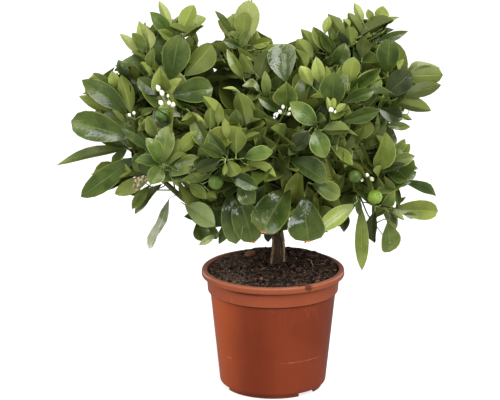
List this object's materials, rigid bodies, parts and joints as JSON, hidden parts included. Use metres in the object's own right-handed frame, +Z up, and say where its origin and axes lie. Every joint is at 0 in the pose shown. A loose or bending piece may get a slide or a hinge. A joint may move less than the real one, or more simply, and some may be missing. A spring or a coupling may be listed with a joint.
{
  "type": "potted calamondin tree",
  "caption": "Small bushy citrus tree in a tapered plastic pot: short trunk in mounded soil, forking boughs, rounded leafy masses with upright crests and a few hanging leaves.",
  "frame": {"origin": "middle of the pot's flat underside, on the surface it stands on", "axes": "+Z up, -Y towards the front of the tree, +X to the right as seen from the front"},
  "size_m": [0.513, 0.368, 0.528],
  "materials": {
    "pot_plastic": "satin moulded terracotta-coloured plastic",
    "potting_soil": "damp fibrous potting soil",
    "bark": "young grey-brown bark with pale streaks",
    "foliage": "glossy leathery citrus leaves"
  },
  "bodies": {
    "root": {"bough_back_left": "bark", "bough_back_right": "bark", "bough_front": "bark", "bough_left_high": "bark", "bough_left_low": "bark", "bough_left_out": "bark", "bough_middle": "bark", "bough_right_high": "bark", "bough_right_low": "bark", "bough_right_out": "bark", "bough_under_left": "bark", "bough_under_right": "bark", "foliage_back_left": "foliage", "foliage_back_low_left": "foliage", "foliage_back_low_right": "foliage", "foliage_back_middle": "foliage", "foliage_back_right": "foliage", "foliage_front_left": "foliage", "foliage_front_middle": "foliage", "foliage_front_right": "foliage", "foliage_heart": "foliage", "foliage_left_crest": "foliage", "foliage_left_drop": "foliage", "foliage_left_low": "foliage", "foliage_left_wing": "foliage", "foliage_middle_crest": "foliage", "foliage_right_crest": "foliage", "foliage_right_drop": "foliage", "foliage_right_low": "foliage", "foliage_right_wing": "foliage", "foliage_under_left": "foliage", "foliage_under_right": "foliage", "pot": "pot_plastic", "soil": "potting_soil", "trunk": "bark"}
  },
  "joints": []
}
